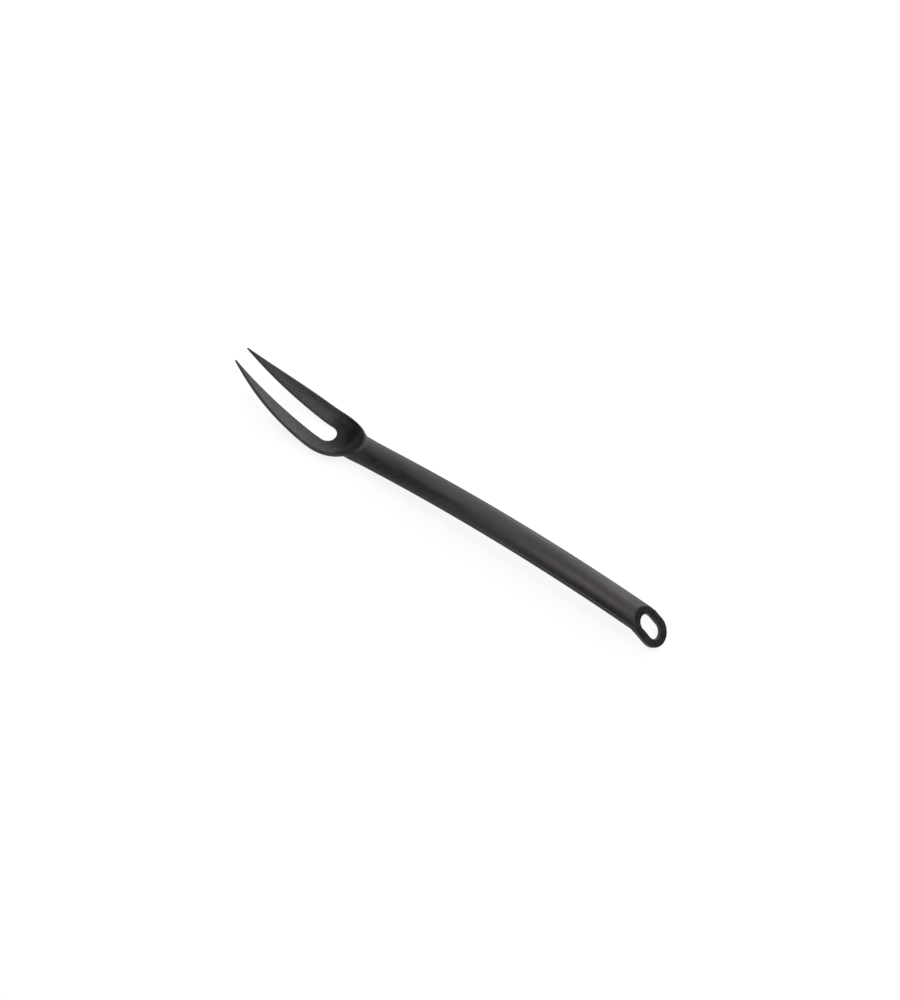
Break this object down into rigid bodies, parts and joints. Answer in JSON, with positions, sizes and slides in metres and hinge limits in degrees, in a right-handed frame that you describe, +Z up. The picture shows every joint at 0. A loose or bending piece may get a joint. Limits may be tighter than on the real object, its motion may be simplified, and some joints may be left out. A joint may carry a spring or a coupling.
{
  "type": "cooking fork",
  "caption": "Black moulded cooking fork with a cupped two-tined head, an arched handle with a domed top and a sloping hanging eye.",
  "frame": {"origin": "on the table, under the middle of the length and width, with the fork lying on its belly and on the end of its hanging eye", "axes": "+X from the tine tips to the hanging eye, +Y across, +Z up from the table"},
  "size_m": [0.306, 0.0342, 0.0285],
  "materials": {
    "black_nylon": "matt moulded black nylon with a fine even grain and a soft sheen"
  },
  "bodies": {
    "root": {"left_tine": "black_nylon", "right_tine": "black_nylon", "bowl": "black_nylon", "neck": "black_nylon", "handle": "black_nylon", "hanging_eye": "black_nylon"}
  },
  "joints": []
}
